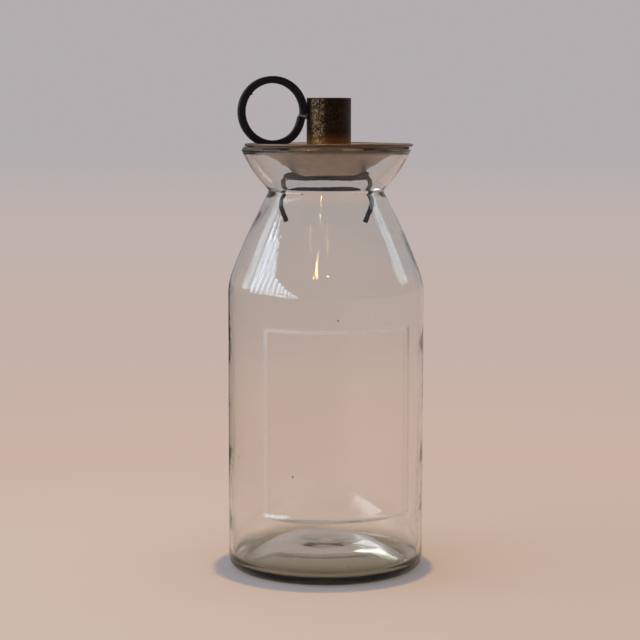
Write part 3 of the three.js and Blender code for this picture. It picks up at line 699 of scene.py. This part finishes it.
paper, tree, output = new_material("pale_paper")
place = node(tree, "ShaderNodeTexCoord").outputs["Object"]
distance = node(tree, "ShaderNodeVectorMath", {0: place}, operation="LENGTH")
away = maths(tree, "LOGARITHM", distance.outputs["Value"], 10.0)
tone = node(tree, "ShaderNodeValToRGB", {"Fac": between(tree, away, -0.4, 1.1, smooth=False)})
tones = [(0.0, (0.597, 0.449, 0.383)), (0.3, (0.56, 0.44, 0.395)), (0.55, (0.53, 0.445, 0.42)),
         (0.8, (0.487, 0.433, 0.423)), (1.0, (0.455, 0.422, 0.432))]
ramp = tone.color_ramp
for k, (position, colour) in enumerate(tones):
    stop = ramp.elements[k] if k < 2 else ramp.elements.new(position)
    stop.position = position
    stop.color = (*colour, 1)
# Where glass or metal mirrors the paper, its tone is dimmer toward the left
place = node(tree, "ShaderNodeSeparateXYZ", {"Vector": place})
side = maths(tree, "DIVIDE", place.outputs["X"], distance.outputs["Value"])
side = between(tree, side, -0.1, 0.5, 0.2)
ray = node(tree, "ShaderNodeLightPath")
mirrored = node(tree, "ShaderNodeMath", {0: ray.outputs["Is Glossy Ray"], 1: ray.outputs["Is Transmission Ray"]},
                operation="SUBTRACT", use_clamp=True)
dimmed = node(tree, "ShaderNodeMix", {0: mirrored.outputs[0], 2: 1.0, 3: side})
even = node(tree, "ShaderNodeEmission", {"Color": tone.outputs["Color"], "Strength": dimmed.outputs[0]})
matt = node(tree, "ShaderNodeBsdfDiffuse", {"Color": (*PAPER_COLOUR, 1)})
# The tone's share is all of it far off, and part of it near the bottle where the glass is looked through,
# there as painted light over the lit paper's shade
far = between(tree, distance.outputs["Value"], 0.12, 0.42)
seen = maths(tree, "MAXIMUM", ray.outputs["Is Camera Ray"], ray.outputs["Is Transmission Ray"])
seen = maths(tree, "MAXIMUM", seen, ray.outputs["Is Glossy Ray"])
painted_fill = maths(tree, "MULTIPLY", ray.outputs["Is Transmission Ray"], TONE_THROUGH_GLASS)
filled = maths(tree, "MAXIMUM", far, painted_fill)
plain = maths(tree, "MULTIPLY", seen, filled)
mixed = node(tree, "ShaderNodeMixShader", {0: plain, 1: matt.outputs[0], 2: even.outputs[0]})
tree.links.new(mixed.outputs[0], output.inputs["Surface"])
floor.data.materials.append(paper)

# The room: pale where it is seen directly or through the glass, dim where metal and glass mirror it
world = bpy.data.worlds.new("studio")
bpy.context.scene.world = world
world.use_nodes = True
tree = world.node_tree
tree.nodes.clear()
direction = node(tree, "ShaderNodeTexCoord").outputs["Generated"]
parts = node(tree, "ShaderNodeSeparateXYZ", {"Vector": direction})
forward = between(tree, parts.outputs["Y"], -0.2, 0.9)
rightward = between(tree, parts.outputs["X"], -0.1, 0.4)
far_side = blend(tree, rightward, (0.3, 0.285, 0.275), (0.45, 0.42, 0.41))
mirrored = blend(tree, forward, (0.05, 0.045, 0.042), far_side)
ray = node(tree, "ShaderNodeLightPath")
light = node(tree, "ShaderNodeBackground", {"Color": (0.62, 0.765, 1.0, 1), "Strength": 0.755})
backdrop = node(tree, "ShaderNodeBackground", {"Color": (0.455, 0.422, 0.432, 1), "Strength": 1.0})
mirror_view = node(tree, "ShaderNodeBackground", {"Color": mirrored, "Strength": 1.0})
mixed = node(tree, "ShaderNodeMixShader", {0: ray.outputs["Is Glossy Ray"], 1: light.outputs[0],
                                           2: mirror_view.outputs[0]})
mixed = node(tree, "ShaderNodeMixShader", {0: ray.outputs["Is Transmission Ray"], 1: mixed.outputs[0],
                                           2: backdrop.outputs[0]})
mixed = node(tree, "ShaderNodeMixShader", {0: ray.outputs["Is Camera Ray"], 1: mixed.outputs[0],
                                           2: backdrop.outputs[0]})
node(tree, "ShaderNodeOutputWorld", {"Surface": mixed.outputs[0]})


# ---------------------------------------------------------------------------------------------
# Light. A tall paned window on the left, a card on the left, on the right and behind, a small warm
# lamp above, and warm bulbs, most of them high behind the camera, that show only as specks in the glass.


def area_lamp(name, place, aim, width, height, radiance, colour, lights_matt=True):
    """A rectangular lamp in metres that faces its aim. Its power is radiance x pi x its area.

    One that doesn't light matt things is only seen, in the glass and in the metal.
    """
    data = bpy.data.lights.new(name, "AREA")
    data.shape = "RECTANGLE"
    data.size, data.size_y = width, height
    data.energy = radiance * math.pi * width * height
    data.color = colour
    lamp = bpy.data.objects.new(name, data)
    lamp.location = place
    lamp.rotation_euler = (Vector(aim) - Vector(place)).to_track_quat("-Z", "Y").to_euler()
    lamp.visible_camera = False
    lamp.visible_diffuse = lights_matt
    bpy.context.scene.collection.objects.link(lamp)


# The room is laid out from the camera, which stands 9.3 degrees to the left of the panel's middle
AIM_HEIGHT = 0.2
aim = Vector((0, 0, AIM_HEIGHT))
camera_azimuth = math.radians(9.3)
room_right = Vector((math.cos(camera_azimuth), -math.sin(camera_azimuth), 0))
room_back = Vector((math.sin(camera_azimuth), math.cos(camera_azimuth), 0))
# The window is this far to the left. Each column of its panes has its place backward and its top, and
# the bars between the panes are left dark
WINDOW_DISTANCE, PANE_WIDTH, BAR_WIDTH = 1.1, 0.108, 0.018
window_columns = [(0.13, 0.65), (-0.03, 0.7), (-0.19, 0.72), (-0.35, 0.66), (-0.51, 0.58), (-0.67, 0.5),
                  (-0.83, 0.42), (-0.99, 0.34), (-1.15, 0.26), (-1.31, 0.2), (-1.47, 0.16), (-1.63, 0.14)]
for column, (back, top) in enumerate(window_columns):
    for row, (low, high) in enumerate(((0.0, 0.07), (0.07, top))):
        place = room_right * -WINDOW_DISTANCE + room_back * back + Vector((0, 0, AIM_HEIGHT + (low + high) / 2))
        area_lamp(f"window_pane_{column}{row}", place, place + room_right, PANE_WIDTH, high - low - BAR_WIDTH, 6.4,
                  (0.62, 0.81, 1.0))
# A dim white card further back than the window, and one on the other side, cut into three upright strips
card_middle = aim + room_right * -WINDOW_DISTANCE + room_back * 0.4 + Vector((0, 0, 0.34))
area_lamp("left_card", card_middle, aim, 0.27, 0.6, 1.9, (0.66, 0.87, 1.0))
card_middle = aim + 1.2 * Vector((0.9, 0.14, 0.33)).normalized()
card_right = (aim - card_middle).cross(Vector((0, 0, 1))).normalized()
for strip in (-1, 0, 1):
    area_lamp(f"right_card_{strip + 1}", card_middle + card_right * 0.108 * strip, aim, 0.08, 0.5, 2.0,
              (0.7, 0.9, 1.0))
# A card high behind the bottle, 15 degrees to the right, shows in the slope of its base
card_middle = 1.55 * (room_back * math.cos(math.radians(15)) + room_right * math.sin(math.radians(15)))
area_lamp("back_card", card_middle + Vector((0, 0, 0.66)), aim, 0.32, 0.42, 1.6, (0.95, 1.0, 1.0), lights_matt=False)
# A small warm lamp straight above draws the bottle's round shadow on the paper
lamp_place = room_right * 0.01 + room_back * 0.025 + Vector((0, 0, 1.35))
area_lamp("ceiling_lamp", lamp_place, lamp_place - Vector((0, 0, 1)), 0.025, 0.025, 3900.0, (1.0, 0.71, 0.2))

# Warm bulbs: each one's bearing, 0 straight back and clockwise, and its height, in degrees
BULB_DISTANCE = 1.6
bulbs = [(-151, 45), (-152, 43.6), (-152, 42.2), (-153, 40.6), (-168, 49.5), (-168, 38), (-167, 36.8), (-169, 35.2),
         (-163, 34), (-169, 32.6), (178, 47.3), (-179, 45.6), (176, 42.6), (177, 40.4), (178, 36.2), (178, 34.4),
         (88.8, 25.9)]
for k, (bearing, up) in enumerate(bulbs):
    flat = room_back * math.cos(math.radians(bearing)) + room_right * math.sin(math.radians(bearing))
    place = aim + BULB_DISTANCE * (flat * math.cos(math.radians(up)) + Vector((0, 0, math.sin(math.radians(up)))))
    area_lamp(f"warm_bulb_{k}", place, aim, 0.018, 0.014, 190.0, (1.0, 0.6, 0.2), lights_matt=False)


# ---------------------------------------------------------------------------------------------
# Camera. 1.05 m from the axis, just under the socket's top, looking 6.2 degrees down and a touch
# past the bottle's left, as the photograph was taken.

CAMERA_DISTANCE, CAMERA_HEIGHT = 1.05, 0.2554
FOCAL_PIXELS, PICTURE_PIXELS = 1859.4, 640
camera_pitch, camera_yaw, camera_roll = math.radians(6.2), math.radians(0.184), math.radians(0.1)
heading = camera_azimuth - camera_yaw
forward = Vector((math.sin(heading) * math.cos(camera_pitch), math.cos(heading) * math.cos(camera_pitch),
                  -math.sin(camera_pitch)))
right = forward.cross(Vector((0, 0, 1))).normalized()
up = right.cross(forward)
rolled_right = right * math.cos(camera_roll) + up * math.sin(camera_roll)
rolled_up = up * math.cos(camera_roll) - right * math.sin(camera_roll)
camera_data = bpy.data.cameras.new("camera")
camera_data.sensor_width = 36
camera_data.lens = FOCAL_PIXELS / PICTURE_PIXELS * camera_data.sensor_width
camera_data.clip_start, camera_data.clip_end = 0.05, 200
camera = bpy.data.objects.new("camera", camera_data)
camera_place = (-CAMERA_DISTANCE * math.sin(camera_azimuth), -CAMERA_DISTANCE * math.cos(camera_azimuth),
                CAMERA_HEIGHT)
camera.matrix_world = Matrix.Translation(camera_place) \
    @ Matrix((rolled_right, rolled_up, -forward)).transposed().to_4x4()
bpy.context.scene.collection.objects.link(camera)
bpy.context.scene.camera = camera
bpy.context.scene.view_settings.view_transform = "Standard"
